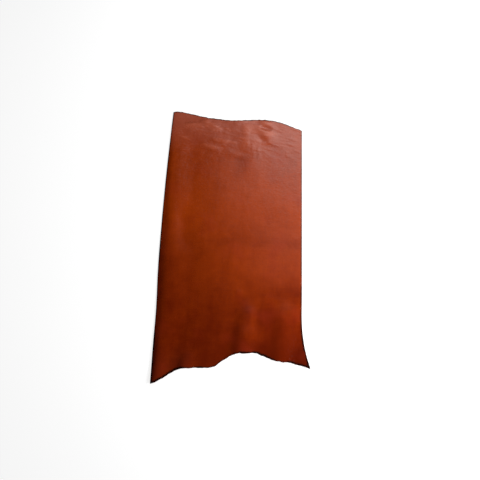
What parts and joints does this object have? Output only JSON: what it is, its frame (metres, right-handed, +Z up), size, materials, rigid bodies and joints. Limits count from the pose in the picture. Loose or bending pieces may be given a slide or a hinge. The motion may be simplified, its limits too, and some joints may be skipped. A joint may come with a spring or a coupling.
{
  "type": "leather quarter side",
  "caption": "Piece of tanned hide lying grain side up, with straight knife cuts down its sides, a wavy back edge and an arched belly edge with pointed flanks. Stock for leather goods.",
  "frame": {"origin": "on the surface that the leather lies on, under the middle of its outline's box", "axes": "+Z up, out of the grain side; +Y from the belly edge to the back edge; +X from the left cut to the right cut"},
  "size_m": [0.567, 1.07, 0.0133],
  "materials": {
    "chestnut_leather": "chestnut dye with a soft waxed sheen on the grain side, raw and fibrous on the flesh side"
  },
  "bodies": {
    "root": {"quarter_side": "chestnut_leather"}
  },
  "joints": []
}
